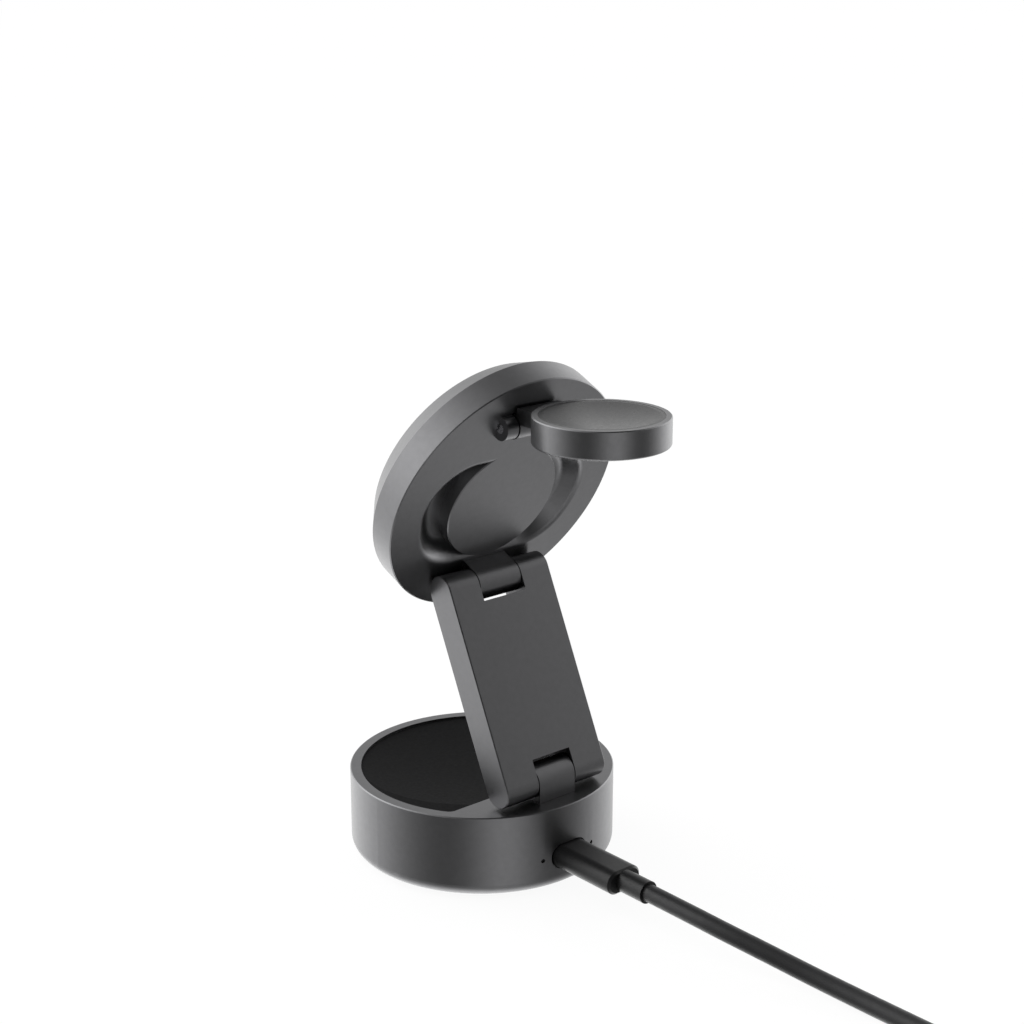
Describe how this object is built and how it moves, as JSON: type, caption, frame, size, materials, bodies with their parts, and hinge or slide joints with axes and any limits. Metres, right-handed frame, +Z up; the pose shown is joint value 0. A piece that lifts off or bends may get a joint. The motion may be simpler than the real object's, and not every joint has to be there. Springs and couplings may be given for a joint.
{
  "type": "three in one wireless charger",
  "caption": "Folding wireless charging stand: round drum base with a dished pad, hinged arm, tilting round head and a flip-up puck, with its cable plugged in and coiled.",
  "frame": {"origin": "on the table, under the middle of the drum base", "axes": "+Z up, -Y the side that the charging face of the head looks to, +Y the side of the cable"},
  "size_m": [0.0998, 0.2482, 0.1338],
  "materials": {
    "anodised_aluminium": "satin space-grey anodised",
    "soft_silicone": "matte black silicone",
    "moulded_black": "fine moulded grain",
    "coil_copper": "enamelled copper wire",
    "ferrite": "sintered",
    "circuit_board": "solder mask",
    "bright_steel": "plated",
    "bush_bronze": "turned",
    "weight_steel": "zinc plated",
    "magnet_nickel": "nickel plated",
    "light_pipe": "smoked clear",
    "flat_wire": "polyimide film",
    "plug_plastic": "satin moulded",
    "cable_sheath": "satin extruded",
    "tie_fabric": "hook and loop"
  },
  "bodies": {
    "base": {"base_shell": "anodised_aluminium", "dish_pad": "soft_silicone", "pad_coil": "coil_copper", "pad_ferrite": "ferrite", "main_board": "circuit_board", "usb_socket": "bright_steel", "light_pipe_left": "light_pipe", "light_pipe_right": "light_pipe", "ballast_plate": "weight_steel", "bottom_cover": "moulded_black", "cover_screws": "bright_steel", "foot_pad": "soft_silicone", "base_hinge_lug": "anodised_aluminium", "lug_screws": "bright_steel", "base_hinge_bush": "bush_bronze", "plug_shell": "bright_steel", "plug_grip": "plug_plastic", "strain_relief": "plug_plastic", "cord_tube": "cable_sheath", "cord_coil": "cable_sheath", "cord_ties": "tie_fabric", "cord_tail": "cable_sheath", "far_strain_relief": "plug_plastic", "far_plug_grip": "plug_plastic", "far_plug_shell": "bright_steel"},
    "arm": {"arm_bar": "anodised_aluminium", "arm_cover_plate": "anodised_aluminium", "arm_flat_wire": "flat_wire", "base_hinge_pin": "bright_steel", "head_hinge_pin": "bright_steel"},
    "head": {"head_back_shell": "anodised_aluminium", "head_front_ring": "anodised_aluminium", "face_pad": "soft_silicone", "face_plate": "moulded_black", "head_coil": "coil_copper", "head_ferrite": "ferrite", "magnet_ring": "magnet_nickel", "carrier_plate": "weight_steel", "head_screws": "bright_steel", "head_board": "circuit_board", "head_hinge_lug": "anodised_aluminium", "head_hinge_bush": "bush_bronze", "puck_hinge_pin": "bright_steel"},
    "puck": {"puck_leaf": "anodised_aluminium", "puck_shell": "anodised_aluminium", "puck_face": "moulded_black", "puck_coil": "coil_copper", "puck_ferrite": "ferrite", "puck_magnet": "magnet_nickel"}
  },
  "joints": [
    {"name": "arm_hinge", "type": "hinge", "parent": "base", "child": "arm", "pos_m": [0, 0.02575, 0.0274], "axis": [1, 0, 0], "range_deg": [-25, 40]},
    {"name": "head_hinge", "type": "hinge", "parent": "arm", "child": "head", "pos_m": [0, 0.00373, 0.07462], "axis": [1, 0, 0], "range_deg": [-38, 44]},
    {"name": "puck_hinge", "type": "hinge", "parent": "head", "child": "puck", "pos_m": [0, 0.01983, 0.11931], "axis": [1, 0, 0], "range_deg": [-114.4, 0]}
  ]
}
